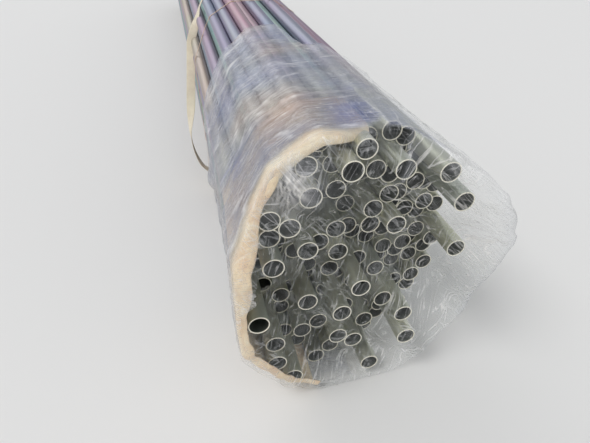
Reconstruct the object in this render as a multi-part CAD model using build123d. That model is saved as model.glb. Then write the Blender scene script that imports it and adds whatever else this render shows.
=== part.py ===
from build123d import *
import math
import os

# A bundle of thin-walled steel pipes, lying on its underside.
# The pipes run along +Y, away from the wrapped end, and +Z is up.
# The origin is on the ground, under the middle of the bundle, at the wrapped end.

# Pipes: one-inch thin-wall steel tube in its ten-foot trade length.
PIPE_DIAMETER = 29.5
PIPE_WALL = 1.45
PIPE_LENGTH = 3048.0
PIPE_GAP = 0.5
# To keep the model light, a pipe's round outside and bore have this many sides, apart from the bores
# of one column, which are truly round. The outside's corners face the six neighbours.
ROUND_COLUMN = 10
OUTER_SIDES = 12
BORE_SIDES = 8

# Pipes stand in columns, each column half a pitch up or down from the next, all with one middle height.
# Each row below is a column from the left, and each number a pipe from the lowest up: how far back its
# end stands, since the ends were never evened out. One pipe has worked forward, through a tear in the film.
END_SETBACKS = (
    (50, 40, -7, 120, 140, 130),
    (10, 20, 120, 140, 130, 110, 15, 40, 35),
    (15, 85, 110, 105, 140, 150, 130, 160, 120, 35, 130, 110),
    (100, 150, 65, 140, 160, 35, 120, 140, 40, 130, 150, 30, 55),
    (70, 140, 160, 65, 150, 135, 160, 120, 75, 140, 130, 150, 120, 90),
    (75, 130, 40, 120, 30, 100, 150, 65, 80, 140, 90, 110, 30),
    (135, 150, 40, 90, 140, 130, 30, 150, 105, 120, 140, 130, 110, 55),
    (25, 150, 65, 130, 150, 115, 150, 140, 80, 75, 130, 80, 120),
    (120, 140, 150, 130, 60, 100, 150, 140, 130, 50, 85, 90, 45, 100),
    (130, 120, 15, 35, 150, 135, 145, 150, 130, 110, 140, 130, 110),
    (140, 105, 130, 150, 140, 120, 150, 130, 140, 110, 130, 25),
    (130, 120, 140, 150, 130, 140, 120, 130, 20),
    (130, 140, 120, 50, 130, 140),
)

# Wrap: a padding sheet over the left half of the end, and stretch film over everything.
SOFT_GAP = 0.3
PADDING_THICKNESS = 4.0
PADDING_BACK = 200.0
PADDING_TOP_END = 12.0
FILM_THICKNESS = 1.2
# The closed end of the film bows forward at mid height, and its right side stands further forward.
FILM_FRONT_LOW = -5.0
FILM_FRONT_MIDDLE = -15.0
FILM_FRONT_TOP = 25.0
FILM_SLANT = -0.12
FILM_END_FLATS = 4
TEAR_MARGIN = 2.0
TEAR_WIDTH = 34.0
TEAR_HEIGHT = 84.0
TEAR_LEAN = -22.0
TEAR_RISE = 34.0

# Straps: a woven webbing strap with slack on the left, and a narrow flat tie.
# Both pass under the bundle behind the film and lean back to a place further along on top.
# The film's back edge, the tie and the strap keep their distances from each other under the bundle.
STRAP_WIDTH = 25.0
STRAP_THICKNESS = 1.2
STRAP_UNDER = 705.0
STRAP_OVER = 1200.0
STRAP_SLACK = 35.0
SLACK_RADIUS = 70.0
SLACK_HEIGHT = 110.0
TIE_WIDTH = 5.0
TIE_THICKNESS = 0.9
TIE_OVER = 945.0
TIE_TO_STRAP = 45.0
FILM_TO_TIE = 20.0
LEAN_STRAIGHT = 60.0
LEAN_RADIUS = 80.0

PIPE_RADIUS = PIPE_DIAMETER / 2
BORE_RADIUS = PIPE_RADIUS - PIPE_WALL
PITCH = PIPE_DIAMETER + PIPE_GAP
COLUMN_COUNTS = [len(column) for column in END_SETBACKS]
COLUMN_STEP = PITCH * math.sqrt(3) / 2
GROUND_CLEARANCE = max(FILM_THICKNESS, STRAP_THICKNESS) + SOFT_GAP
FILM_CLEARANCE = SOFT_GAP + PADDING_THICKNESS + SOFT_GAP
MIDDLE_HEIGHT = GROUND_CLEARANCE + PIPE_RADIUS + (max(COLUMN_COUNTS) - 1) * PITCH / 2
SECTION_TOP = 2 * MIDDLE_HEIGHT - GROUND_CLEARANCE
HALF_WIDTH = (len(COLUMN_COUNTS) - 1) * COLUMN_STEP / 2 + PIPE_RADIUS
TIE_UNDER = STRAP_UNDER - TIE_TO_STRAP
FILM_BACK = TIE_UNDER - FILM_TO_TIE
REACH = 4 * HALF_WIDTH
ALONG = (0, 1, 0)


def column_place(column):
    """Sideways place of a column's pipe centres."""
    return (column - (len(COLUMN_COUNTS) - 1) / 2) * COLUMN_STEP


def pipe_heights(column):
    """Heights of the pipe centres in a column, from the lowest."""
    count = COLUMN_COUNTS[column]
    return [MIDDLE_HEIGHT + (place - (count - 1) / 2) * PITCH for place in range(count)]


def pipe_section(column):
    """A pipe's cut. Its bore is round in the column whose bores take a fit."""
    outside = RegularPolygon(PIPE_RADIUS, OUTER_SIDES, rotation=90)
    if column == ROUND_COLUMN:
        return outside - Circle(BORE_RADIUS)
    return outside - RegularPolygon(BORE_RADIUS, BORE_SIDES, rotation=90)


def pipe_column(column):
    """All pipes of a column, each its own solid."""
    section = pipe_section(column)
    pipes = []
    for place, height in enumerate(pipe_heights(column)):
        pipe = extrude(Plane.XZ * Pos(column_place(column), height) * section, amount=PIPE_LENGTH, dir=ALONG)
        pipes.append(pipe.moved(Location((0, END_SETBACKS[column][place], 0))))
    return Compound(children=pipes)


def outline(clearance, slack=0.0):
    """The bundle's section, this far outside the pipes: a taut line round the ends of the columns."""
    columns = range(len(COLUMN_COUNTS))
    lower = [(column_place(column), pipe_heights(column)[0]) for column in columns]
    upper = [(column_place(column), pipe_heights(column)[-1]) for column in reversed(columns)]
    edges = list(Polyline(*lower, *upper, close=True).edges())
    if slack:
        bulge = Pos(SLACK_RADIUS - HALF_WIDTH - slack, SLACK_HEIGHT) * Circle(SLACK_RADIUS - PIPE_RADIUS)
        edges += list(bulge.edges())
    return Plane.XZ * offset(make_hull(edges), amount=PIPE_RADIUS + clearance, kind=Kind.INTERSECTION)


def tube(clearance, thickness, start, end, ground=0.0, slack=0.0):
    """A closed band round the bundle, pressed flat where it lies on the ground."""
    outside = extrude(outline(clearance + thickness, slack), amount=end - start, dir=ALONG)
    inside = extrude(outline(clearance, slack), amount=end - start, dir=ALONG)
    band = outside & above(ground)
    band -= inside & above(ground + thickness)
    return band.moved(Location((0, start, 0)))


def above(z):
    """Everything above a height."""
    return Pos(0, 0, z) * Box(REACH, 4 * PIPE_LENGTH, REACH, align=(Align.CENTER, Align.CENTER, Align.MIN))


def behind_film_end(further_back):
    """Everything behind the bowed, slanting end of the film, moved back by a distance."""
    low = (FILM_FRONT_LOW + further_back, 0)
    middle = (FILM_FRONT_MIDDLE + further_back, SECTION_TOP / 2)
    top = (FILM_FRONT_TOP + further_back, SECTION_TOP)
    bow = ThreePointArc(low, middle, top)
    flats = [bow @ (number / FILM_END_FLATS) for number in range(FILM_END_FLATS + 1)]
    below = [(2 * PIPE_LENGTH, -REACH), (low[0], -REACH)]
    over = [(top[0], REACH), (2 * PIPE_LENGTH, REACH)]
    profile = make_face(Polyline(*below, *flats, *over, close=True))
    left = Plane.YZ.offset(-REACH) * Pos(-FILM_SLANT * REACH, 0) * profile
    return extrude(left, amount=2 * REACH, dir=(1, FILM_SLANT, 0))


def film():
    """Stretch film: a closed bag over the near end, torn open round the pipe that pokes out."""
    start = FILM_FRONT_MIDDLE - REACH
    length = FILM_BACK - start
    outside = extrude(outline(FILM_CLEARANCE + FILM_THICKNESS), amount=length, dir=ALONG)
    inside = extrude(outline(FILM_CLEARANCE), amount=length, dir=ALONG)
    place = Location((0, start, 0))
    bag = outside.moved(place) & above(0) & behind_film_end(0)
    bag -= inside.moved(place) & above(FILM_THICKNESS) & behind_film_end(FILM_THICKNESS)
    torn_pipe = Pos(column_place(0), pipe_heights(0)[END_SETBACKS[0].index(min(END_SETBACKS[0]))])
    tear = torn_pipe * Circle(PIPE_RADIUS + TEAR_MARGIN)
    tear += torn_pipe * Pos(0, TEAR_RISE) * Rot(0, 0, TEAR_LEAN) * Ellipse(TEAR_WIDTH / 2, TEAR_HEIGHT / 2)
    return bag - extrude(Plane.XZ.offset(-FILM_FRONT_TOP) * tear, amount=REACH)


def padding():
    """Padding sheet over the left of the end, from the top of the bundle down to the ground."""
    start = FILM_FRONT_MIDDLE - REACH
    sheet = tube(SOFT_GAP, PADDING_THICKNESS, start, PADDING_BACK, GROUND_CLEARANCE - PADDING_THICKNESS)
    sheet &= behind_film_end(FILM_THICKNESS + PADDING_THICKNESS)
    lowest = FILM_THICKNESS + SOFT_GAP
    middle = SECTION_TOP / 2
    left_edge = -2 * COLUMN_STEP - PIPE_RADIUS
    plan = Polygon(
        (-REACH, lowest),
        (left_edge, lowest),
        (left_edge, middle),
        (PADDING_TOP_END, middle),
        (PADDING_TOP_END, REACH),
        (-REACH, REACH),
        align=None,
    )
    return sheet & extrude(Plane.XZ * plan, amount=REACH, both=True)


def leaning_band(width, thickness, under, over, slack=0.0):
    """A flat band round the bundle that crosses under it at one place and over it at another."""
    line = FilletPolyline(
        (under, -LEAN_STRAIGHT),
        (under, LEAN_STRAIGHT),
        (over, SECTION_TOP - LEAN_STRAIGHT),
        (over, SECTION_TOP + LEAN_STRAIGHT),
        radius=LEAN_RADIUS,
    )
    path = extrude(Plane.YZ * trace(line, line_width=width), amount=REACH, both=True)
    ground = GROUND_CLEARANCE - SOFT_GAP - thickness
    return tube(SOFT_GAP, thickness, under - width, over + width, ground, slack) & path


os.makedirs("parts", exist_ok=True)
for column in range(len(COLUMN_COUNTS)):
    export_step(pipe_column(column), f"parts/pipe_column_{column + 1:02d}.step")
export_step(padding(), "parts/padding_sheet.step")
export_step(film(), "parts/stretch_film.step")
export_step(
    leaning_band(STRAP_WIDTH, STRAP_THICKNESS, STRAP_UNDER, STRAP_OVER, STRAP_SLACK),
    "parts/webbing_strap.step",
)
export_step(leaning_band(TIE_WIDTH, TIE_THICKNESS, TIE_UNDER, TIE_OVER), "parts/tie_band.step")
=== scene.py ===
import math

import bmesh
import bpy
import numpy as np
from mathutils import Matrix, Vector


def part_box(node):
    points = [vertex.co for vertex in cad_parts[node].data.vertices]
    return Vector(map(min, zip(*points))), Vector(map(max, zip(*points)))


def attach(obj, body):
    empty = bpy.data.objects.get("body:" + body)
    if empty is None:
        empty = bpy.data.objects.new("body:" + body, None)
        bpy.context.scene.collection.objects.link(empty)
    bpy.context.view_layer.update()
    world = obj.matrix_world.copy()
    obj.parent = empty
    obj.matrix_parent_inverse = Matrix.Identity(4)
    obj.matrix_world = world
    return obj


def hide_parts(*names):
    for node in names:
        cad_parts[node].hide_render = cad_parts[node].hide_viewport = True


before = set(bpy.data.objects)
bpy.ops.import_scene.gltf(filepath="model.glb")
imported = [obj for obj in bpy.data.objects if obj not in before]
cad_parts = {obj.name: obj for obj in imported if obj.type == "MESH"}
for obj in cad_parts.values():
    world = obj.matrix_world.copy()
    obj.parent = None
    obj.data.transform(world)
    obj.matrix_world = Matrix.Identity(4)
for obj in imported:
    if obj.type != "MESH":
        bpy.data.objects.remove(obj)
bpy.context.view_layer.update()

# Everything is in metres, in the CAD model's frame: pipes along +Y, +Z up, the ground at z = 0.
# Places round the bundle are turns in degrees: 0 is its lowest line, 90 its left, 180 its top and 270 its
# right, seen from the wrapped end.

# Photograph's camera
FRAME_WIDTH = 590
FOCAL_PIXELS = 480.0
SENSOR_WIDTH = 36.0
CAMERA_PLACE = Vector((-0.2124, -0.448, 0.6726))
CAMERA_LOOK = Vector((0.1906, 0.798, -0.5717))

# Stage. A light is its name, the direction it comes from, its strength and its angle in degrees.
FLOOR_HALF_WIDTH = 12
FLOOR_FAR = 14
FLOOR_COLOUR = (0.80, 0.79, 0.77, 1)
ROOM_COLOUR = (0.92, 0.95, 1.0, 1)
ROOM_STRENGTH = 0.50
LIGHTS = (
    ("key", (-0.75, -0.25, 1.1), 1.35, 24),
    ("fill", (0.9, -1.3, 0.9), 0.30, 60),
    ("back", (-0.35, 1.0, 0.60), 0.45, 40),
)

# Pipes
PIPE_DIAMETER = 0.0295
PIPE_RADIUS = PIPE_DIAMETER / 2
PIPE_WALL = 0.00145
PIPE_PITCH = 0.030
COLUMN_STEP = PIPE_PITCH * math.sqrt(3) / 2
PIPE_SEGMENTS = 40
PIPE_CHAMFER = 0.0002
PIPE_BARE_EDGE = 0.0016
PIPE_SHARP_ANGLE = 35
# Steps in which a line round the bundle is worked out
OUTLINE_STEPS = 1440

# The front edge of padding and film alike, as (turn, distance along the bundle)
WRAP_FRONT = ((0, 0.018), (25, 0.014), (50, -0.004), (85, -0.010), (111, -0.020), (123, 0.004), (135, 0.036),
              (156, 0.052), (171, 0.060), (187, 0.090), (200, 0.030), (217, -0.058), (228, -0.054),
              (249, -0.028), (266, -0.014), (285, 0.012), (320, 0.022), (343, 0.020))
# How far the wrap stands off on the left of its front edge, and how far along that reaches. Spans of turns
# are four turns each: what they stand for rises between the first two and falls between the last two.
WRAP_FLARE = 0.010
WRAP_FLARE_LENGTH = 0.21
WRAP_FLARE_SPAN = (40, 75, 160, 187)

# Padding: its front edge folds in over the pipe ends, further above and below the torn hole
SOFT_GAP = 0.0003
PADDING_THICKNESS = 0.004
PADDING_BACK_WAVE = 0.004
PADDING_FRONT_WAVE = 0.006
PADDING_CURL = 0.011
PADDING_CURL_TURN = math.pi * 0.62
PADDING_DENT = 0.0020
PADDING_FINE_DENT = 0.0010
WIDE_CURL = 1.2
WIDE_CURL_ABOVE = (92, 102, 118, 132)
WIDE_CURL_BELOW = (2, 14, 70, 77)
PADDING_LINE_POINTS = 1600
PADDING_AROUND = 260
CURL_ROWS = 12
PADDING_ROWS = 70

# Film
FILM_CLEARANCE = 0.0046
FILM_THICKNESS = 0.0012
# Taut film stands this far in front of a pipe's end, reaches this far past its rim and then slopes back
FILM_STANDS_OFF = 0.003
FILM_PAST_RIM = 0.001
FILM_SLOPE = 0.8
FILM_RAGGED = 0.010
FILM_AROUND = 400
END_ROWS = 95
SIDE_ROWS = 125
# Rows of the end, next to its rim, over which the wrap's flare grows
RIM_ROWS = 14
SMOOTHING_PASSES = 3
# The film's back edge, as (turn, distance along the bundle)
FILM_BACK = ((0, 0.60), (60, 0.56), (110, 0.53), (135, 0.585), (155, 0.605), (170, 0.638), (182, 0.636),
             (184, 0.46), (215, 0.47), (270, 0.52), (320, 0.58))
# How far its creases and its lumps stand out, on its side and on its end
SIDE_CREASE = 0.0022
SIDE_LUMP = 0.003
END_CREASE = 0.0014
END_LUMP = 0.0012
# Where the film hangs loose, how many degrees that spreads, and how far it stands out there
LOOSE_TURN = 225
LOOSE_SPREAD = 38
LOOSE_HEIGHT = 0.008
# Where the film lies on the padding: up to this turn, and up to this distance along the bundle
PADDED_TURN = 188
PADDED_END = 0.203
# The tear: a round hole for the pipe that pokes out, and a longer one this far right of it and above it
TEAR_MARGIN = 0.0022
TEAR_RISE = (0.008, 0.060)
TEAR_HALF_WIDTH = 0.011
TEAR_HALF_HEIGHT = 0.022
TEAR_BACK = 0.05
# On the film's end, as (x, z): where it is crumpled beside the tear, and where a white glare is painted on
# it
CRUMPLE = (-0.160, 0.246)
CRUMPLE_WIDTH = 0.012
CRUMPLE_HEIGHT = 0.020
GLARE = (-0.106, 0.374)
GLARE_REACH = 0.034
# A small loose flap of film on the left
FLAP_TURN = 99
FLAP_SPREAD = 7
FLAP_PLACE = 0.33
FLAP_LENGTH = 0.045
FLAP_HEIGHT = 0.012

# Bands, as in the CAD model. The strap hangs slack on the left, where it is twisted, in degrees, and sways.
STRAP_WIDTH = 0.025
STRAP_THICKNESS = 0.0012
STRAP_UNDER = 0.705
STRAP_OVER = 1.200
STRAP_SLACK = 0.035
STRAP_TWIST = -70
STRAP_TWIST_SPAN = (62, 80, 120, 140)
STRAP_SWAY = 0.02
SLACK_RADIUS = 0.070
SLACK_HEIGHT = 0.110
TIE_WIDTH = 0.005
TIE_THICKNESS = 0.0009
TIE_UNDER = 0.660
TIE_OVER = 0.945
LEAN_STRAIGHT = 0.060
BAND_POINTS = 560
WEBBING_RIB = 0.0021
WEBBING_YARN = 0.0016
# The bands and the smooth film lie no lower than this
FLOOR_GAP = 0.0004

PIPE_NODES = sorted(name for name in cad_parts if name.startswith("pipe_column"))
rng = np.random.default_rng(11)


# Noise

def hashed(ix, iy, iz, seed):
    """A repeatable random value from 0 to 1 for each whole-number point."""
    h = (ix * 374761393 + iy * 668265263 + iz * 2147483647 + seed * 974634777) & 0xFFFFFFFF
    h = ((h ^ (h >> 13)) * 1274126177) & 0xFFFFFFFF
    return ((h ^ (h >> 16)) & 0xFFFFFF) / 0xFFFFFF


def value_noise(points, seed):
    """Smooth noise from 0 to 1 at points of shape (n, 3), one lump a unit."""
    cell = np.floor(points).astype(np.int64)
    f = points - cell
    f = f * f * (3 - 2 * f)
    total = np.zeros(len(points))
    for dx in (0, 1):
        for dy in (0, 1):
            for dz in (0, 1):
                weight = np.abs(1 - dx - f[:, 0]) * np.abs(1 - dy - f[:, 1]) * np.abs(1 - dz - f[:, 2])
                total += weight * hashed(cell[:, 0] + dx, cell[:, 1] + dy, cell[:, 2] + dz, seed)
    return total


def line_noise(distance, seed, row=0.0):
    """Smooth noise from 0 to 1 along a line. Another row gives another run of it."""
    return value_noise(np.stack([distance, distance * 0 + row, distance * 0], axis=1), seed)


def ridges(points, seed, sharpness):
    """Thin raised lines, from 0 to 1, between lumps of noise."""
    return (1 - np.abs(2 * value_noise(points, seed) - 1)) ** sharpness


def smoothstep(low, high, value):
    """A smooth rise from 0 at low to 1 at high, or a fall where low is above high."""
    t = np.clip((value - low) / (high - low), 0, 1)
    return t * t * (3 - 2 * t)


# Mesh helpers

def new_mesh(name, points, faces, smooth=True):
    """A mesh object from points and faces."""
    mesh = bpy.data.meshes.new(name)
    mesh.from_pydata([tuple(p) for p in points], [], [tuple(int(i) for i in f) for f in faces])
    mesh.update()
    if smooth:
        mesh.polygons.foreach_set("use_smooth", [True] * len(mesh.polygons))
    piece = bpy.data.objects.new(name, mesh)
    bpy.context.scene.collection.objects.link(piece)
    return piece


def point_values(piece, name, values):
    """Stores a number on each point, for the material to read."""
    attribute = piece.data.attributes.new(name, "FLOAT", "POINT")
    attribute.data.foreach_set("value", np.asarray(values, np.float32))


def grid_faces(rows, columns, wrap=False):
    """Quads of a grid of points, row by row. wrap joins the last column to the first."""
    last = columns if wrap else columns - 1
    faces = []
    for i in range(rows - 1):
        for j in range(last):
            k = (j + 1) % columns
            faces.append((i * columns + j, i * columns + k, (i + 1) * columns + k, (i + 1) * columns + j))
    return faces


def seat(piece, node):
    """Rides the piece on the only body and lets it stand for a CAD node."""
    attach(piece, "root")
    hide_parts(node)


# Where the pipes are, read from the CAD nodes

def pipe_places():
    """For each pipe node: a list of (x, z, near end, far end)."""
    places = {}
    for node in PIPE_NODES:
        low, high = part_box(node)
        points = np.array([v.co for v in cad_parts[node].data.vertices])
        x = (low.x + high.x) / 2
        first = low.z + PIPE_RADIUS
        number = np.rint((points[:, 2] - first) / PIPE_PITCH).astype(int)
        pipes = []
        for n in range(number.max() + 1):
            y = points[number == n, 1]
            pipes.append((x, first + n * PIPE_PITCH, y.min(), y.max()))
        places[node] = pipes
    return places


PIPES = pipe_places()
CENTRES = np.array([(p[0], p[1]) for pipes in PIPES.values() for p in pipes])
MIDDLE = CENTRES.mean(axis=0)
SECTION_TOP = CENTRES[:, 1].max() + PIPE_RADIUS


def outline(clearance, count, floor, slack=0.0):
    """Points round the bundle at this distance outside the pipes, evenly spaced, from the lowest, clockwise
    as seen from the wrapped end."""
    angles = np.linspace(0, 2 * math.pi, OUTLINE_STEPS + 1)[:-1]
    directions = np.stack([-np.sin(angles), -np.cos(angles)], axis=1)
    reach = CENTRES @ directions.T
    best = CENTRES[reach.argmax(axis=0)] + directions * (PIPE_RADIUS + clearance)
    if slack:
        left = CENTRES[:, 0].min() - PIPE_RADIUS - slack
        bulge = np.array([left + SLACK_RADIUS, SLACK_HEIGHT])
        further = bulge @ directions.T + SLACK_RADIUS > reach.max(axis=0) + PIPE_RADIUS
        best[further] = (bulge + directions * (SLACK_RADIUS + clearance))[further]
    best = np.vstack([best, best[:1]])
    best[:, 1] = np.maximum(best[:, 1], floor)
    steps = np.r_[0, np.cumsum(np.linalg.norm(np.diff(best, axis=0), axis=1))]
    at = np.linspace(0, steps[-1], count + 1)[:-1]
    return np.stack([np.interp(at, steps, best[:, 0]), np.interp(at, steps, best[:, 1])], axis=1)


# Materials

class Nodes:
    """A material's node tree with short calls."""

    def __init__(self, name):
        self.material = bpy.data.materials.new(name)
        self.material.use_nodes = True
        self.tree = self.material.node_tree
        self.shader = self.tree.nodes["Principled BSDF"]

    def add(self, kind, inputs=(), **settings):
        """A new node with its settings, and its inputs linked or given a value."""
        node = self.tree.nodes.new(kind)
        for key, value in settings.items():
            setattr(node, key, value)
        for key, value in dict(inputs).items():
            if isinstance(value, bpy.types.NodeSocket):
                self.tree.links.new(value, node.inputs[key])
            else:
                node.inputs[key].default_value = value
        return node

    def set(self, **inputs):
        """Sets the shader's sockets: Base_Color=..., Roughness=..."""
        for key, value in inputs.items():
            socket = self.shader.inputs[key.replace("_", " ")]
            if isinstance(value, bpy.types.NodeSocket):
                self.tree.links.new(value, socket)
            else:
                socket.default_value = value

    def stretched(self, scale, turned=0.0):
        """Object coordinates, turned by this many degrees about the bundle's length, then stretched."""
        place = self.add("ShaderNodeTexCoord").outputs["Object"]
        if turned:
            angles = (0, math.radians(turned), 0)
            place = self.add("ShaderNodeMapping", {"Vector": place, "Rotation": angles}).outputs[0]
        return self.add("ShaderNodeMapping", {"Vector": place, "Scale": scale}).outputs[0]

    def along(self):
        """Distance along the bundle."""
        place = self.add("ShaderNodeTexCoord").outputs["Object"]
        return self.add("ShaderNodeSeparateXYZ", {"Vector": place}).outputs["Y"]

    def crease_lines(self, scale, turned, width):
        """Thin lines, from 0 to 1, that run along the direction with the smallest scale."""
        lumps = self.noise(1.0, 1.0, 0.4, self.stretched(scale, turned))
        from_middle = self.value("ABSOLUTE", self.value("SUBTRACT", lumps, 0.5))
        return self.ramp(from_middle, [(0.0, 1.0), (width, 0.0)])

    def noise(self, scale, detail, rough, vector=None):
        """Noise from 0 to 1, at object coordinates unless a vector is given."""
        node = self.add("ShaderNodeTexNoise", {"Scale": scale, "Detail": detail, "Roughness": rough})
        if vector is None:
            vector = self.stretched((1, 1, 1))
        self.tree.links.new(vector, node.inputs["Vector"])
        return node.outputs["Fac"]

    def ramp(self, factor, stops):
        """A colour ramp: stops are (place, colour or grey)."""
        node = self.add("ShaderNodeValToRGB", {"Fac": factor})
        elements = node.color_ramp.elements
        while len(elements) < len(stops):
            elements.new(1.0)
        for element, (place, colour) in zip(elements, stops):
            element.position = place
            element.color = (*colour, 1) if isinstance(colour, tuple) else (colour, colour, colour, 1)
        return node.outputs["Color"]

    def mix(self, factor, a, b):
        """Colour a where the factor is 0, and b where it is 1."""
        node = self.add("ShaderNodeMix", data_type="RGBA", blend_type="MIX")
        for index, value in ((0, factor), (6, a), (7, b)):
            if isinstance(value, bpy.types.NodeSocket):
                self.tree.links.new(value, node.inputs[index])
            elif index == 0:
                node.inputs[index].default_value = value
            else:
                node.inputs[index].default_value = (*value, 1)
        return node.outputs[2]

    def value(self, operation, a, b=0.0, clamp=False):
        """The result of an operation on one or two numbers."""
        node = self.add("ShaderNodeMath", operation=operation, use_clamp=clamp)
        for index, value in ((0, a), (1, b)):
            if isinstance(value, bpy.types.NodeSocket):
                self.tree.links.new(value, node.inputs[index])
            else:
                node.inputs[index].default_value = value
        return node.outputs[0]

    def stored(self, name):
        """A number that the mesh stores on each point."""
        return self.add("ShaderNodeAttribute", attribute_name=name).outputs["Fac"]

    def bump(self, height, distance, strength):
        """Fine relief on the shader."""
        node = self.add("ShaderNodeBump", {"Height": height, "Distance": distance, "Strength": strength})
        self.tree.links.new(node.outputs[0], self.shader.inputs["Normal"])


def zinc_material():
    """Zinc plated steel: olive near the wrapped end (partly a painted reflection), iridescent further along;
    painted shade in the bores and painted highlights on the cut ends.
    """
    n = Nodes("zinc_plated_steel")
    streaks = n.noise(60, 4, 0.6, n.stretched((1, 0.02, 1)))
    cloud = n.noise(9, 2, 0.5, n.stretched((1, 0.3, 1)))
    hue = n.value("ADD", n.stored("tint"), n.value("MULTIPLY", n.value("SUBTRACT", cloud, 0.5), 0.35))
    hue = n.value("ADD", hue, n.value("MULTIPLY", n.value("SUBTRACT", streaks, 0.5), 0.18))
    skin = n.ramp(hue, [(0.0, (0.43, 0.25, 0.31)), (0.16, (0.31, 0.27, 0.38)), (0.32, (0.19, 0.29, 0.39)),
                        (0.5, (0.16, 0.34, 0.34)), (0.66, (0.26, 0.36, 0.28)), (0.82, (0.42, 0.43, 0.30)),
                        (1.0, (0.46, 0.33, 0.31))])
    # Painted reflection: the olive near the wrapped end is partly the plating's own colour and partly a
    # painted reflection.
    olive = n.ramp(hue, [(0.0, (0.50, 0.51, 0.41)), (0.3, (0.64, 0.65, 0.52)), (0.55, (0.43, 0.48, 0.44)),
                         (0.8, (0.68, 0.68, 0.50)), (1.0, (0.55, 0.56, 0.47))])
    skin = n.mix(n.ramp(n.value("MULTIPLY", n.along(), 1.6), [(0.30, 0.0), (0.80, 1.0)]), olive, skin)
    worn = n.mix(n.ramp(streaks, [(0.45, 0.0), (0.75, 0.5)]), skin, (0.58, 0.58, 0.53))
    # Painted shade: the bores are painted nearly black for the shade inside the pipes.
    colour = n.mix(n.value("MULTIPLY", n.stored("inside"), 0.8), worn, (0.10, 0.115, 0.095))
    # Painted highlight: the cut ends are bare steel, painted pale cream and nearly matt so that they look
    # lit.
    colour = n.mix(n.stored("cut"), colour, (1.0, 0.95, 0.79))
    n.set(Base_Color=colour, Metallic=n.ramp(n.stored("cut"), [(0.0, 0.75), (1.0, 0.1)]))
    n.set(Roughness=n.value("ADD", n.value("MULTIPLY", streaks, 0.22), 0.30))
    n.bump(n.noise(420, 3, 0.6, n.stretched((1, 0.05, 1))), 0.0002, 0.25)
    return n.material


def felt_material():
    """Cream padding felt: soft patches, streaks that follow its edge, and dark specks."""
    n = Nodes("cream_felt")
    patches = n.noise(16, 4, 0.65)
    streaks = n.noise(1.0, 4, 0.7, n.stretched((22, 340, 22)))
    fibres = n.noise(900, 3, 0.7)
    colour = n.ramp(patches, [(0.3, (0.82, 0.58, 0.38)), (0.5, (0.91, 0.75, 0.52)),
                              (0.68, (0.97, 0.88, 0.68))])
    colour = n.mix(n.ramp(streaks, [(0.30, 0.55), (0.52, 0.0)]), colour, (0.70, 0.50, 0.36))
    colour = n.mix(n.ramp(streaks, [(0.56, 0.0), (0.72, 0.6)]), colour, (1.0, 0.95, 0.82))
    colour = n.mix(n.ramp(fibres, [(0.32, 0.5), (0.5, 0.0)]), colour, (0.45, 0.34, 0.25))
    n.set(Base_Color=colour, Roughness=0.9, Sheen_Weight=0.3)
    relief = n.value("ADD", n.value("MULTIPLY", fibres, 0.4), n.noise(120, 4, 0.6))
    n.bump(n.value("ADD", relief, streaks), 0.0016, 0.8)
    return n.material


def webbing_material():
    """Woven cream webbing: ribs across it from its stored length, and fine yarns."""
    n = Nodes("cream_webbing")
    across = n.value("SINE", n.value("MULTIPLY", n.stored("run"), 2 * math.pi / WEBBING_RIB))
    along = n.value("SINE", n.value("MULTIPLY", n.stored("side"), 2 * math.pi / WEBBING_YARN))
    weave = n.value("ADD", n.value("MULTIPLY", across, 0.35), n.value("MULTIPLY", along, 0.15))
    weave = n.value("ADD", weave, 0.5)
    colour = n.ramp(weave, [(0.1, (0.62, 0.52, 0.36)), (0.5, (0.88, 0.79, 0.60)), (0.9, (0.97, 0.91, 0.76))])
    colour = n.mix(n.ramp(n.noise(30, 4, 0.6), [(0.4, 0.0), (0.75, 0.4)]), colour, (0.55, 0.45, 0.32))
    n.set(Base_Color=colour, Roughness=0.85, Sheen_Weight=0.2)
    n.bump(weave, 0.0006, 0.8)
    return n.material


def tie_material():
    """Tan plastic tie with faint lengthwise fibres."""
    n = Nodes("tan_tie")
    colour = n.ramp(n.noise(220, 4, 0.6), [(0.3, (0.50, 0.34, 0.22)), (0.7, (0.76, 0.58, 0.44))])
    n.set(Base_Color=colour, Roughness=0.5)
    n.bump(n.noise(700, 2, 0.5), 0.0002, 0.4)
    return n.material


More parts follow.
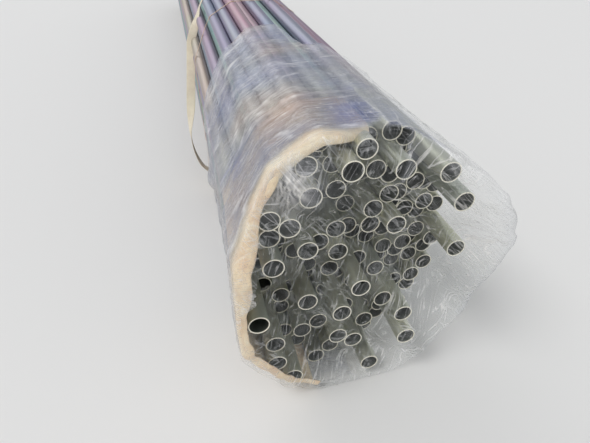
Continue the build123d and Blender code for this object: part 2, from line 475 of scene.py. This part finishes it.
def film_material():
    """Clear stretch film: nearly invisible when smooth, with painted white glints along creases and a
    painted sky reflection where milky, grey where many layers lie.
    """
    n = Nodes("stretch_film")
    patches = n.noise(11, 4, 0.6)
    here = n.ramp(patches, [(0.40, 0.0), (0.58, 1.0)])
    there = n.ramp(patches, [(0.42, 1.0), (0.60, 0.0)])
    # Painted highlights: the crease lines below are painted white as glints.
    diagonal = n.value("MULTIPLY", n.crease_lines((130, 10, 11), 40, 0.035), here)
    upright = n.value("MULTIPLY", n.crease_lines((150, 10, 13), -24, 0.035), there)
    level = n.value("MULTIPLY", n.crease_lines((150, 12, 14), 84, 0.030), here)
    end_lines = n.value("MAXIMUM", n.value("MAXIMUM", diagonal, upright), level)
    hoops = n.value("MAXIMUM", n.crease_lines((9, 210, 9), 0, 0.05), n.crease_lines((16, 420, 16), 0, 0.06))
    hoops = n.value("MULTIPLY", hoops, n.ramp(n.noise(30, 4, 0.6), [(0.40, 0.0), (0.62, 1.0)]))
    pulls = n.value("MULTIPLY", n.crease_lines((120, 9, 120), 0, 0.045), here)
    around = n.value("MULTIPLY", hoops, n.stored("hoops"))
    lengthwise = n.value("MULTIPLY", pulls, n.stored("loose"))
    wrapped = n.value("MULTIPLY", n.value("ADD", around, lengthwise), 0.65)
    lines = n.value("MAXIMUM", wrapped, n.value("MULTIPLY", end_lines, n.stored("end")))
    cloud = n.noise(26, 5, 0.65)
    haze_and_reflection_alpha = n.value("MULTIPLY", n.stored("milk_and_sky_reflection"), n.ramp(cloud, [(0.3, 0.55), (0.7, 1.0)]))
    edge = n.add("ShaderNodeLayerWeight", {"Blend": 0.22}).outputs["Facing"]
    folds = n.ramp(n.stored("crease"), [(0.45, 0.0), (1.0, 0.55)])
    alpha = n.value("ADD", haze_and_reflection_alpha, n.value("MULTIPLY", edge, 0.15))
    alpha = n.value("ADD", alpha, n.value("MULTIPLY", lines, 0.5))
    alpha = n.value("ADD", alpha, n.value("MULTIPLY", folds, 0.5))
    alpha = n.value("MINIMUM", n.value("ADD", alpha, 0.03), 0.92)
    # Painted reflection: bluish sky and warm glints tint the milky film.
    sheen = n.ramp(n.noise(5, 2, 0.5), [(0.35, (0.19, 0.22, 0.42)), (0.52, (0.25, 0.26, 0.33)),
                                        (0.68, (0.45, 0.32, 0.26))])
    # Painted highlights: white glints on the creases and a painted glare, with white frost where the film is
    # crumpled.
    bright = n.value("MAXIMUM", n.value("MAXIMUM", lines, folds), n.stored("frost_and_glare"), clamp=True)
    colour = n.mix(n.value("MULTIPLY", n.stored("milk_and_sky_reflection"), 1.4, clamp=True), (0.90, 0.93, 0.93), sheen)
    n.set(Base_Color=n.mix(bright, colour, (0.97, 0.94, 0.90)), Roughness=0.16, Alpha=alpha, IOR=1.5)
    swells = n.noise(15, 2, 0.45)
    n.bump(n.value("ADD", swells, n.value("MULTIPLY", lines, 0.4)), 0.004, 0.5)
    return n.material


# Pipes

def ring_points(radius, count):
    """Points of a circle round the origin."""
    angles = np.linspace(0, 2 * math.pi, count + 1)[:-1]
    return np.stack([radius * np.cos(angles), radius * np.sin(angles)], axis=1)


def pipe_profile(near, far):
    """A pipe's wall cut lengthwise: corners as (radius, distance along the bundle, inside, cut edge)."""
    inner = PIPE_RADIUS - PIPE_WALL
    return [
        (inner, near + PIPE_BARE_EDGE, 1, 0),
        (inner, near + PIPE_CHAMFER, 0, 1),
        (inner + PIPE_CHAMFER, near, 0, 1),
        (PIPE_RADIUS - PIPE_CHAMFER, near, 0, 1),
        (PIPE_RADIUS, near + PIPE_CHAMFER, 0, 1),
        (PIPE_RADIUS, near + PIPE_BARE_EDGE, 0, 0),
        (PIPE_RADIUS, far - PIPE_BARE_EDGE, 0, 0),
        (PIPE_RADIUS, far - PIPE_CHAMFER, 0, 1),
        (PIPE_RADIUS - PIPE_CHAMFER, far, 0, 1),
        (inner + PIPE_CHAMFER, far, 0, 1),
        (inner, far - PIPE_CHAMFER, 0, 1),
        (inner, far - PIPE_BARE_EDGE, 1, 0),
    ]


def ring_faces(rows, count, start):
    """Quads between rings of points, the last ring joined to the first."""
    faces = []
    for i in range(rows):
        for j in range(count):
            k = (j + 1) % count
            a = start + i * count
            b = start + (i + 1) % rows * count
            faces.append((a + j, a + k, b + k, b + j))
    return faces


def make_pipes(node, material):
    """The smooth round tubes of one column, with chamfered ends, each in its own tint."""
    points, faces, tint, cut, inside = [], [], [], [], []
    for x, z, near, far in PIPES[node]:
        profile = pipe_profile(near, far)
        hue = rng.uniform(0, 1)
        faces += ring_faces(len(profile), PIPE_SEGMENTS, len(points))
        for radius, y, is_inside, is_cut in profile:
            for px, pz in ring_points(radius, PIPE_SEGMENTS):
                points.append((x + px, y, z + pz))
                tint.append(hue)
                inside.append(is_inside)
                cut.append(is_cut)
    piece = new_mesh("tubes_" + node[-2:], points, faces)
    point_values(piece, "tint", tint)
    point_values(piece, "cut", cut)
    point_values(piece, "inside", inside)
    piece.data.set_sharp_from_angle(angle=math.radians(PIPE_SHARP_ANGLE))
    piece.data.materials.append(material)
    seat(piece, node)


# Bands

def band_place(z, under, over):
    """Where along the bundle a leaning band is at a height."""
    t = np.clip((z - LEAN_STRAIGHT) / (SECTION_TOP - 2 * LEAN_STRAIGHT), 0, 1)
    return under + (over - under) * (0.85 * t + 0.15 * smoothstep(0, 1, t))


def band_line(section, under, over, slack):
    """The band's line round the bundle, swaying a little where it hangs slack."""
    y = band_place(section[:, 1], under, over)
    if slack:
        left = smoothstep(-0.10, -0.17, section[:, 0]) * smoothstep(0.0, 0.08, section[:, 1])
        y += STRAP_SWAY * left * np.sin(section[:, 1] * 14)
    return np.stack([section[:, 0], y, section[:, 1]], axis=1)


def band_axes(line, section):
    """Unit vectors across the band, and out from the bundle, at each point of its line."""
    tangent = np.roll(line, -1, axis=0) - np.roll(line, 1, axis=0)
    tangent /= np.linalg.norm(tangent, axis=1)[:, None]
    flat = np.roll(section, -1, axis=0) - np.roll(section, 1, axis=0)
    out = np.stack([-flat[:, 1], np.zeros(len(line)), flat[:, 0]], axis=1)
    out /= np.linalg.norm(out, axis=1)[:, None]
    out *= np.sign(((line - [MIDDLE[0], 0, MIDDLE[1]]) * out).sum(axis=1))[:, None]
    side = np.cross(tangent, out)
    side /= np.linalg.norm(side, axis=1)[:, None]
    return side, out


def twisted(section, side, out):
    """The strap's axes, turned about its length where it hangs slack on the left."""
    turns = turn_of(section)
    angle = math.radians(STRAP_TWIST) * within(STRAP_TWIST_SPAN, turns)[:, None]
    return side * np.cos(angle) + out * np.sin(angle), out * np.cos(angle) - side * np.sin(angle)


def band_profile(wide):
    """The band's cut with rounded edges, in shares of its width and thickness."""
    edge = 0.47 if wide else 0.42
    flat = (edge, 0.2, -0.2, -edge) if wide else (edge, -edge)
    lower = [(-across, 0) for across in flat]
    upper = [(across, 1) for across in flat]
    return [(-0.5, 0.15), *lower, (0.5, 0.15), (0.5, 0.85), *upper, (-0.5, 0.85)]


def make_band(name, material, node, width, thickness, under, over, slack=0.0):
    """A flat band round the bundle, leaning back from under it to its top."""
    section = outline(SOFT_GAP, BAND_POINTS, FLOOR_GAP, slack)
    line = band_line(section, under, over, slack)
    side, out = band_axes(line, section)
    if slack:
        side, out = twisted(section, side, out)
    steps = np.r_[0, np.cumsum(np.linalg.norm(np.diff(line, axis=0), axis=1))]
    profile = band_profile(wide=width > 0.01)
    points, run, across = [], [], []
    for i in range(BAND_POINTS):
        for across_share, up_share in profile:
            points.append(line[i] + side[i] * width * across_share + out[i] * thickness * up_share)
            run.append(steps[i])
            across.append(across_share * width)
    piece = new_mesh(name, points, ring_faces(BAND_POINTS, len(profile), 0))
    point_values(piece, "run", run)
    point_values(piece, "side", across)
    piece.data.materials.append(material)
    seat(piece, node)


# The wrap's edges

def turn_of(points):
    """Turn in degrees, clockwise from the lowest line, of points (n, 2)."""
    away = np.asarray(points) - MIDDLE
    return np.degrees(np.arctan2(-away[:, 0], -away[:, 1])) % 360


def within(span, turns):
    """A share from 0 to 1 of these turns' being inside a span."""
    return smoothstep(span[0], span[1], turns) * smoothstep(span[3], span[2], turns)


def along_edge(edge, turns):
    """Distance along the bundle of an edge of the wrap, at these turns."""
    return np.interp(turns, [t for t, _ in edge], [y for _, y in edge], period=360)


def flare(turns, y):
    """How far the wrap stands out at these turns and distances along the bundle."""
    return WRAP_FLARE * within(WRAP_FLARE_SPAN, turns) * smoothstep(WRAP_FLARE_LENGTH, 0.0, y)


def wide_fold(turns):
    """Where the padding folds further in over the pipe ends: above and below the torn hole."""
    return within(WIDE_CURL_ABOVE, turns) + 0.8 * within(WIDE_CURL_BELOW, turns)


def outward(section):
    """Unit normals of a line round the bundle."""
    flat = np.gradient(section, axis=0)
    out = np.stack([-flat[:, 1], flat[:, 0]], axis=1)
    out /= np.linalg.norm(out, axis=1)[:, None] + 1e-12
    return out * np.sign(((section - MIDDLE) * out).sum(axis=1))[:, None]


# Padding

def padding_line(right_edge):
    """The padding's line round the bundle's left half, evenly spaced, and the distances along it."""
    section = outline(SOFT_GAP, PADDING_LINE_POINTS, FILM_THICKNESS + SOFT_GAP)
    turns = turn_of(section)
    over_ground = section[:, 0] < -2 * COLUMN_STEP - PIPE_RADIUS
    kept = (turns > 5) & (turns < 200) & (section[:, 0] < right_edge)
    line = section[kept & ((section[:, 1] > MIDDLE[1]) | over_ground)]
    line = line[np.argsort(turn_of(line))]
    steps = np.r_[0, np.cumsum(np.linalg.norm(np.diff(line, axis=0), axis=1))]
    at = np.linspace(0, steps[-1], PADDING_AROUND)
    return np.stack([np.interp(at, steps, line[:, 0]), np.interp(at, steps, line[:, 1])], axis=1), at


def padding_row(line, y, lift):
    """A row of points at distances y along the bundle, this far outside the padding's line."""
    flat = line + outward(line) * (lift + flare(turn_of(line), y))[:, None]
    return np.stack([flat[:, 0], y, flat[:, 1]], axis=1)


def padding_surface(line, at, back_edge, thickness):
    """All points of the padding's surface at this thickness, from its folded front edge back."""
    turns = turn_of(line)
    waves = line_noise(at * 45, 5) - 0.5
    front = along_edge(WRAP_FRONT, turns) + PADDING_FRONT_WAVE * waves
    curl = PADDING_CURL * (0.75 + line_noise(at * 30, 6, 3) * 0.6) * (1 + WIDE_CURL * wide_fold(turns))
    rows = []
    for i in range(CURL_ROWS):
        angle = (1 - i / CURL_ROWS) * PADDING_CURL_TURN
        y = front + curl / 2 * (1 - math.sin(angle))
        y += PADDING_THICKNESS - thickness * math.sin(angle)
        rows.append(padding_row(line, y, thickness * math.cos(angle) - curl / 2 * (1 - math.cos(angle))))
    start = front + curl / 2 + PADDING_THICKNESS
    back = back_edge - PADDING_BACK_WAVE + PADDING_BACK_WAVE * waves
    for i in range(PADDING_ROWS):
        y = start + (back - start) * (i / (PADDING_ROWS - 1))
        rows.append(padding_row(line, y, np.full(len(line), thickness)))
    return np.vstack(rows)


def shell_faces(rows, columns):
    """Faces of a closed sheet: an inner and an outer grid of points, joined round their edges."""
    outer = rows * columns
    grid = grid_faces(rows, columns)
    faces = [quad[::-1] for quad in grid]
    faces += [tuple(k + outer for k in quad) for quad in grid]
    for j in range(columns - 1):
        last = (rows - 1) * columns + j
        faces.append((j, j + 1, outer + j + 1, outer + j))
        faces.append((last + 1, last, outer + last, outer + last + 1))
    for i in range(rows - 1):
        near, far = i * columns, (i + 1) * columns
        faces.append((outer + near, outer + far, far, near))
        near, far = near + columns - 1, far + columns - 1
        faces.append((near, far, outer + far, outer + near))
    return faces


def make_padding(material):
    """The padding sheet on the left half of the end, dented on its outside."""
    low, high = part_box("padding_sheet")
    line, at = padding_line(high.x)
    inner = padding_surface(line, at, high.y, 0)
    outer = padding_surface(line, at, high.y, PADDING_THICKNESS)
    rows = CURL_ROWS + PADDING_ROWS
    dents = PADDING_DENT * value_noise(outer * 38, 3) + PADDING_FINE_DENT * value_noise(outer * 110, 4)
    outer[:, [0, 2]] -= np.tile(outward(line), (rows, 1)) * dents[:, None]
    piece = new_mesh("padding", np.vstack([inner, outer]), shell_faces(rows, PADDING_AROUND))
    piece.data.materials.append(material)
    seat(piece, "padding_sheet")
    return piece


# Film

def tent(flat):
    """How far forward taut film must stand at points (n, 2) to clear the pipe ends behind it."""
    ends = [(x, z, near) for pipes in PIPES.values() for x, z, near, _ in pipes if near > 0]
    depth = np.full(len(flat), 1.0)
    for x, z, near in ends:
        distance = np.hypot(flat[:, 0] - x, flat[:, 1] - z)
        cone = near - FILM_STANDS_OFF + FILM_SLOPE * np.maximum(0, distance - PIPE_RADIUS - FILM_PAST_RIM)
        depth = np.minimum(depth, cone)
    return depth


def torn_away(points):
    """True where the film is torn open: round the pipe that pokes out, and above it."""
    pipe = min((p for pipes in PIPES.values() for p in pipes), key=lambda p: p[2])
    x, z = points[:, 0] - pipe[0], points[:, 2] - pipe[1]
    rough = 0.85 + 0.4 * value_noise(points * 180, 41)
    hole = np.hypot(x, z) < PIPE_RADIUS + TEAR_MARGIN
    tear = np.hypot((x - TEAR_RISE[0]) / TEAR_HALF_WIDTH, (z - TEAR_RISE[1]) / TEAR_HALF_HEIGHT) < rough
    return (hole | tear) & (points[:, 1] < TEAR_BACK)


def film_end(section, turns, front):
    """Rows of points from the middle of the film's closed end out to its rim."""
    rows = []
    for i in range(END_ROWS):
        share = 0.015 + 0.985 * i / (END_ROWS - 1)
        flat = MIDDLE + (section - MIDDLE) * share
        clear = tent(flat)
        rim = smoothstep(0.80 - 0.08 * wide_fold(turns), 1.0 - 0.10 * wide_fold(turns), share)
        y = np.minimum(clear * (1 - rim) + front * rim, clear)
        rows.append(np.stack([flat[:, 0], y, flat[:, 1]], axis=1))
    return rows


def film_side(section, rim, back):
    """Rows of points from the film's rim back along the bundle."""
    rows = []
    for i in range(1, SIDE_ROWS):
        t = (i / (SIDE_ROWS - 1)) ** 1.1
        y = rim + (back - rim) * t
        rows.append(np.stack([section[:, 0], y, section[:, 1]], axis=1))
    return rows


def softened(grid):
    """A grid of points that wraps round its columns, evened out along and across."""
    for _ in range(SMOOTHING_PASSES):
        grid[1:-1] = (grid[:-2] + 2 * grid[1:-1] + grid[2:]) / 4
        grid = (np.roll(grid, 1, axis=1) + 2 * grid + np.roll(grid, -1, axis=1)) / 4
    return grid


def surface_normals(grid):
    """Unit normals of a grid of points (rows, columns, 3) that wraps round its columns, pointing out."""
    along = np.gradient(grid, axis=0)
    across = np.roll(grid, -1, axis=1) - np.roll(grid, 1, axis=1)
    normal = np.cross(along, across)
    normal /= np.linalg.norm(normal, axis=2, keepdims=True) + 1e-12
    middle = np.array([MIDDLE[0], 0.35, MIDDLE[1]])
    signs = np.sign(((grid - middle) * normal).sum(axis=2, keepdims=True))
    return normal * signs


class Film:
    """The film's points before and after its relief, and where on the film each of them is."""

    def __init__(self):
        section = outline(FILM_CLEARANCE + FLOOR_GAP, FILM_AROUND, FLOOR_GAP)
        turns = turn_of(section)
        back = along_edge(FILM_BACK, turns) + FILM_RAGGED * (line_noise(turns * 0.8, 8) - 0.5)
        rows = film_end(section, turns, along_edge(WRAP_FRONT, turns))
        rim = rows[-1][:, 1].copy()
        grid = np.array(rows + film_side(section, rim, back))
        out = outward(section)
        for i in range(END_ROWS - RIM_ROWS, len(grid)):
            share = smoothstep(END_ROWS - RIM_ROWS - 1, END_ROWS - 1, float(i))
            grid[i][:, [0, 2]] += out * (flare(turns, grid[i][:, 1]) * share)[:, None]
        grid = softened(grid)
        self.rows = len(grid)
        self.smooth = grid.reshape(-1, 3)
        self.turn = np.tile(turns, self.rows)
        self.side = np.repeat(np.arange(self.rows) >= END_ROWS, FILM_AROUND)
        self.from_rim = self.smooth[:, 1] - np.tile(rim, self.rows)
        self.back = np.tile(back, self.rows)
        self.loose = np.exp(-((self.turn - LOOSE_TURN) / LOOSE_SPREAD) ** 2)
        self.left = smoothstep(215, 190, self.turn)
        self.swirl = value_noise(self.smooth * 6, 21)[:, None] * np.array([0.05, 0.07, 0.05])
        self.creases = np.where(self.side, self.side_creases(), self.end_creases())
        self.points = self.smooth + surface_normals(grid).reshape(-1, 3) * self.relief()[:, None]
        self.points[:, 2] = np.maximum(self.points[:, 2], SOFT_GAP)

    def side_creases(self):
        """Creases round the bundle on the film's side, and lengthwise ones where it hangs loose."""
        warped = self.smooth + self.swirl
        hoops = ridges(warped * [9, 42, 9], 1, 5) + 0.5 * ridges(warped * [18, 80, 18], 2, 5)
        pulls = ridges(np.stack([self.turn * 0.22 + self.swirl[:, 0] * 40, self.smooth[:, 1] * 9,
                                 self.smooth[:, 2] * 0], axis=1), 12, 5)
        return hoops * (1 - 0.7 * self.loose) * (0.35 + 0.65 * self.left) + 1.3 * self.loose * pulls

    def end_creases(self):
        """Creases in two directions on the film's closed end, and ones that spread out near its rim."""
        warped = self.smooth + self.swirl
        across = warped @ np.array([[0.8, 0, 0.6], [0, 1, 0], [-0.6, 0, 0.8]])
        radius = np.hypot(self.smooth[:, 0] - MIDDLE[0], self.smooth[:, 2] - MIDDLE[1])
        spread = ridges(np.stack([np.radians(self.turn) * 14 + self.swirl[:, 2] * 40, radius * 16,
                                  radius * 0], axis=1), 7, 7)
        return (0.7 * ridges(across * [18, 20, 95], 4, 9) + 0.6 * ridges(across * [90, 20, 16], 6, 9)
                + 0.8 * smoothstep(0.09, 0.18, radius) * spread)

    def relief(self):
        """How far each point stands out of the smooth film."""
        lumps = value_noise(self.smooth * 24, 9) - 0.5
        height = np.where(self.side, SIDE_CREASE * self.creases + SIDE_LUMP * lumps,
                          END_CREASE * self.creases + END_LUMP * lumps)
        height += self.side * self.loose * LOOSE_HEIGHT * smoothstep(0.30, 0.0, self.from_rim)
        flap = np.exp(-((self.turn - FLAP_TURN) / FLAP_SPREAD) ** 2
                      - ((self.smooth[:, 1] - FLAP_PLACE) / FLAP_LENGTH) ** 2)
        height += self.side * FLAP_HEIGHT * flap * (0.6 + 0.8 * value_noise(self.smooth * 60, 51))
        return np.where(self.side & (self.turn < 200), np.maximum(height, 0), height)

    def side_milk_and_reflection(self):
        """How milky the side is, with a painted sky reflection: more on the left and on the padding's top,
        less near its front edge.
        """
        y = self.points[:, 1]
        padded = self.side * (self.turn < PADDED_TURN) * smoothstep(0.225, 0.205, y)
        rough = 0.010 * (value_noise(self.points * 60, 31) - 0.5)
        behind_edge = smoothstep(0.012, 0.035, self.from_rim + rough)
        top = smoothstep(95, 135, self.turn)
        # Painted reflection: stronger on the lit left and on the padding's top.
        milk_and_sky_reflection = self.side * (1 - padded) * (0.03 + 0.52 * self.left)
        milk_and_sky_reflection += padded * (0.06 + (0.28 + 0.40 * top) * behind_edge)
        milk_and_sky_reflection += 0.20 * np.exp(-(self.from_rim / 0.008) ** 2) * (self.turn > 195) * (self.turn < 300)
        return milk_and_sky_reflection + 0.25 * self.side * np.exp(-((self.back - y) / 0.008) ** 2)

    def looks(self):
        """The numbers that the film's material reads on each point."""
        end = ~self.side
        x, y, z = self.points.T
        seam = np.exp(-((y - PADDED_END) / 0.005) ** 2) * (self.turn < PADDED_TURN) * self.side
        # Painted reflection: a white glare with spokes on the film's end.
        away = np.hypot(x - GLARE[0], z - GLARE[1])
        spokes = line_noise(np.arctan2(z - GLARE[1], x - GLARE[0]) * 9, 33, away * 12)
        glare = end * np.exp(-(away / GLARE_REACH) ** 2) * (0.25 + 1.1 * spokes)
        crumpled = end * np.exp(-(((x - CRUMPLE[0]) / CRUMPLE_WIDTH) ** 2
                                  + ((z - CRUMPLE[1]) / CRUMPLE_HEIGHT) ** 2))
        milk_and_sky_reflection = self.side_milk_and_reflection() + 0.30 * seam + 0.75 * glare
        return {
            "milk_and_sky_reflection": milk_and_sky_reflection + 0.5 * crumpled * value_noise(self.points * 260, 35),
            "frost_and_glare": glare + crumpled + 0.55 * seam * value_noise(self.points * 70, 37),
            "crease": self.creases - 0.35,
            # Painted glints on the side's creases: strong on the lit left, faint on the shaded right.
            "hoops": self.side * (1 - 0.6 * self.loose) * (0.1 + 0.9 * self.left),
            "loose": self.side * self.loose,
            "end": end * (0.75 + 0.25 * smoothstep(0.0, 0.10, x)),
        }


def make_film(material):
    """The clear wrap: a bag over the pipe ends, taut against them and loose on the upper right."""
    film = Film()
    torn = torn_away(film.points)
    faces = [f for f in grid_faces(film.rows, FILM_AROUND, wrap=True) if not torn[list(f)].any()]
    piece = new_mesh("film", film.points, faces)
    keep_used_points(piece)
    kept = np.unique(np.array(faces).ravel())
    for name, value in film.looks().items():
        point_values(piece, name, np.clip(value, 0, 1)[kept])
    piece.data.materials.append(material)
    seat(piece, "stretch_film")
    return piece


def keep_used_points(piece):
    """Deletes the points that no face uses."""
    mesh = bmesh.new()
    mesh.from_mesh(piece.data)
    bmesh.ops.delete(mesh, geom=[v for v in mesh.verts if not v.link_faces], context="VERTS")
    mesh.to_mesh(piece.data)
    mesh.free()


# Stage

def make_floor():
    """A plain pale floor."""
    near, far = -FLOOR_HALF_WIDTH, FLOOR_FAR
    corners = [(near, near, 0), (-near, near, 0), (-near, far, 0), (near, far, 0)]
    floor = new_mesh("floor", corners, [(0, 1, 2, 3)], smooth=False)
    n = Nodes("floor_plain")
    n.set(Base_Color=FLOOR_COLOUR, Roughness=0.9)
    floor.data.materials.append(n.material)


def make_lights():
    """Soft wide lights from far off, and an evenly lit room."""
    for name, place, strength, softness in LIGHTS:
        data = bpy.data.lights.new(name, "SUN")
        data.energy = strength
        data.angle = math.radians(softness)
        lamp = bpy.data.objects.new(name, data)
        lamp.rotation_euler = (-Vector(place)).to_track_quat("-Z", "Y").to_euler()
        bpy.context.scene.collection.objects.link(lamp)
    world = bpy.data.worlds.new("soft_room")
    world.use_nodes = True
    world.node_tree.nodes["Background"].inputs["Color"].default_value = ROOM_COLOUR
    world.node_tree.nodes["Background"].inputs["Strength"].default_value = ROOM_STRENGTH
    bpy.context.scene.world = world


def make_camera():
    """The photograph's camera."""
    camera = bpy.data.objects.new("camera", bpy.data.cameras.new("camera"))
    camera.data.sensor_fit = "HORIZONTAL"
    camera.data.sensor_width = SENSOR_WIDTH
    camera.data.lens = SENSOR_WIDTH * FOCAL_PIXELS / FRAME_WIDTH
    camera.data.clip_end = 100
    camera.location = CAMERA_PLACE
    camera.rotation_euler = CAMERA_LOOK.to_track_quat("-Z", "Y").to_euler()
    bpy.context.scene.collection.objects.link(camera)
    bpy.context.scene.camera = camera


zinc = zinc_material()
for node in PIPE_NODES:
    make_pipes(node, zinc)
padding = make_padding(felt_material())
film = make_film(film_material())
make_band("strap", webbing_material(), "webbing_strap", STRAP_WIDTH, STRAP_THICKNESS,
          STRAP_UNDER, STRAP_OVER, STRAP_SLACK)
make_band("tie", tie_material(), "tie_band", TIE_WIDTH, TIE_THICKNESS, TIE_UNDER, TIE_OVER)
make_floor()
make_lights()
make_camera()
bpy.context.scene.view_settings.view_transform = "Standard"
